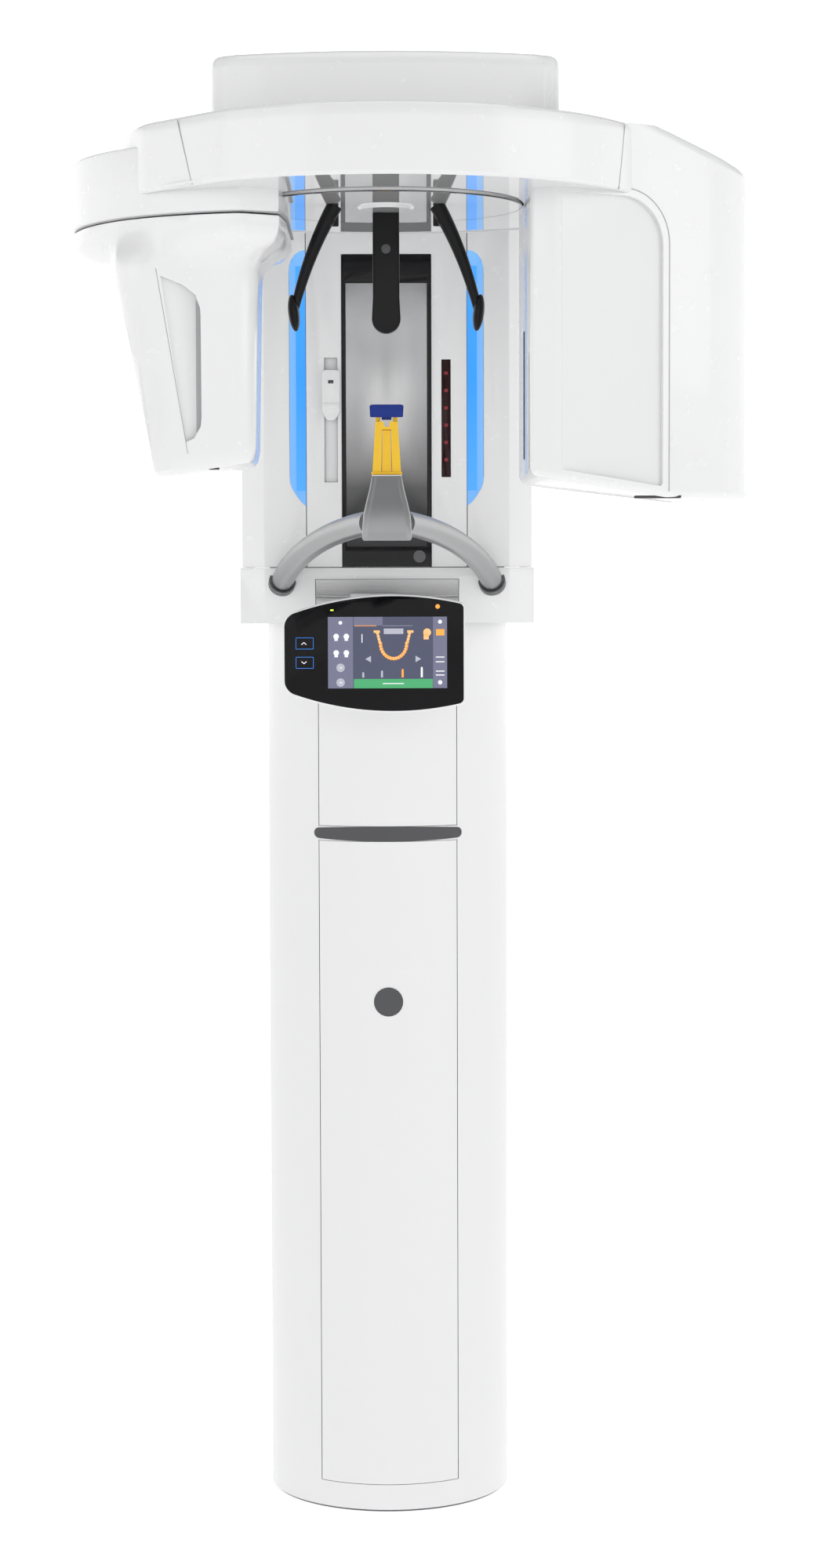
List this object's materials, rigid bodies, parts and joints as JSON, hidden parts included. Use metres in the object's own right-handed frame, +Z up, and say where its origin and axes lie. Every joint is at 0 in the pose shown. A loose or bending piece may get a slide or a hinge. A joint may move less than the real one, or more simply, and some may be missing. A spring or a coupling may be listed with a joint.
{
  "type": "panoramic xray machine",
  "caption": "White dental panoramic X-ray unit on a round-fronted column, with a ring rotor, patient mirror, bite rest and touch panel.",
  "frame": {"origin": "on the floor, at the axis of the column's round front", "axes": "+X to the viewer's right, +Y from the rotor back towards the wall, +Z up"},
  "size_m": [0.747, 1.144, 1.845],
  "materials": {
    "frame_steel": "satin",
    "shell_white": "gloss",
    "cover_white": "gloss",
    "cover_grey": "satin",
    "strip_grey": "satin",
    "ground_steel": "satin",
    "cast_ballast": "matte",
    "guide_plastic": "matte",
    "motor_black": "satin",
    "supply_case": "satin",
    "aluminium_raw": "satin",
    "handle_silver": "satin",
    "bronze": "satin",
    "light_blue": "gloss",
    "frame_black": "gloss",
    "mirror_silver": "gloss",
    "sensor_glass": "gloss",
    "display_red": "gloss",
    "socket_black": "matte",
    "tank_metal": "satin",
    "collimator_dark": "satin",
    "sensor_dark": "satin",
    "support_black": "satin",
    "yoke_grey": "satin",
    "panel_black": "gloss",
    "stem_yellow": "satin",
    "bite_blue": "satin"
  },
  "bodies": {
    "stand": {"base_plate": "frame_steel", "column_frame": "frame_steel", "column_shell": "shell_white", "front_panel": "shell_white", "upper_panel": "shell_white", "slot_trim": "strip_grey", "guide_rails": "ground_steel", "top_guides": "guide_plastic", "lift_motor": "motor_black", "power_supply": "supply_case", "ballast_block": "cast_ballast", "wall_bracket": "frame_steel", "frame_bolts": "ground_steel"},
    "screw": {"lead_screw": "ground_steel"},
    "carriage": {"mast": "aluminium_raw", "screw_nut": "bronze", "guide_shoes": "guide_plastic", "lower_block": "cover_white", "block_cover": "cover_white", "centre_panel": "cover_white", "side_shell_left": "cover_white", "side_shell_right": "cover_white", "light_bars": "light_blue", "mirror_frame": "frame_black", "mirror_glass": "mirror_silver", "distance_sensor": "sensor_glass", "height_display": "display_red", "slider_track": "cover_grey", "arm_beam": "aluminium_raw", "arm_cover": "cover_white", "rotor_motor": "motor_black", "slewing_bearing": "ground_steel", "head_post": "ground_steel", "head_disc": "cover_white", "handle_tubes": "handle_silver", "handle_sockets": "socket_black", "bite_tower": "handle_silver", "panel_bracket": "cover_grey"},
    "localiser": {"localiser_slider": "cover_white"},
    "pinion": {"motor_pinion": "bronze"},
    "rotor": {"rotor_neck": "aluminium_raw", "rotor_plate": "aluminium_raw", "rotor_shell": "cover_white", "rotor_underside": "cover_white", "tube_cover_outer": "cover_white", "tube_cover_inner": "cover_grey", "xray_tank": "tank_metal", "collimator": "collimator_dark", "sensor_collar": "cover_white"},
    "sensor_head": {"sensor_shell": "cover_white", "pan_sensor": "sensor_dark", "sensor_spindle": "ground_steel"},
    "temple_left": {"temple_arm_left": "support_black"},
    "temple_right": {"temple_arm_right": "support_black"},
    "forehead": {"forehead_rest": "support_black"},
    "panel_swivel": {"panel_yoke": "yoke_grey"},
    "control_panel": {"panel_case": "cover_white", "panel_glass": "panel_black"},
    "stem": {"bite_stem": "stem_yellow"},
    "bite": {"bite_block": "bite_blue"}
  },
  "joints": [
    {"name": "lift", "type": "slide", "parent": "stand", "child": "carriage", "axis": [0, 0, 1], "range_m": [-0.55, 0.4]},
    {"name": "screw_turn", "type": "hinge", "parent": "stand", "child": "screw", "pos_m": [0, -0.015, 0.1], "axis": [0, 0, 1], "continuous": true},
    {"name": "rotor_turn", "type": "hinge", "parent": "carriage", "child": "rotor", "pos_m": [0, -0.72, 1.66], "axis": [0, 0, 1], "range_deg": [-205, 15]},
    {"name": "pinion_turn", "type": "hinge", "parent": "carriage", "child": "pinion", "pos_m": [0, -0.5896, 1.74], "axis": [0, 0, 1], "continuous": true},
    {"name": "sensor_turn", "type": "hinge", "parent": "rotor", "child": "sensor_head", "pos_m": [-0.212, -0.76, 1.6], "axis": [0, 0, 1], "range_deg": [0, 180]},
    {"name": "localiser_slide", "type": "slide", "parent": "carriage", "child": "localiser", "axis": [0, 0, 1], "range_m": [-0.074, 0.018]},
    {"name": "temple_left_swing", "type": "hinge", "parent": "carriage", "child": "temple_left", "pos_m": [-0.056, -0.751, 1.608], "axis": [0, 1, 0], "range_deg": [-5, 10]},
    {"name": "temple_right_swing", "type": "hinge", "parent": "carriage", "child": "temple_right", "pos_m": [0.056, -0.751, 1.608], "axis": [0, -1, 0], "range_deg": [-5, 10]},
    {"name": "forehead_tilt", "type": "hinge", "parent": "carriage", "child": "forehead", "pos_m": [0, -0.69, 1.606], "axis": [1, 0, 0], "range_deg": [-12, 12]},
    {"name": "panel_turn", "type": "hinge", "parent": "carriage", "child": "panel_swivel", "pos_m": [-0.0165, -0.234, 1.17], "axis": [0, 0, 1], "range_deg": [-20, 20]},
    {"name": "panel_tilt", "type": "hinge", "parent": "panel_swivel", "child": "control_panel", "pos_m": [-0.0165, -0.256, 1.136], "axis": [1, 0, 0], "range_deg": [-10, 8]},
    {"name": "stem_lift", "type": "slide", "parent": "carriage", "child": "stem", "axis": [0, 0, 1], "range_m": [0, 0.045]},
    {"name": "bite_tilt", "type": "hinge", "parent": "stem", "child": "bite", "pos_m": [0, -0.65, 1.4], "axis": [1, 0, 0], "range_deg": [-8, 8]}
  ],
  "couplings": [
    {"joint": "screw_turn", "follows": "lift", "rad_per_m": -314.16},
    {"joint": "pinion_turn", "follows": "rotor_turn", "ratio": -6.222},
    {"joint": "temple_right_swing", "follows": "temple_left_swing", "ratio": 1}
  ]
}
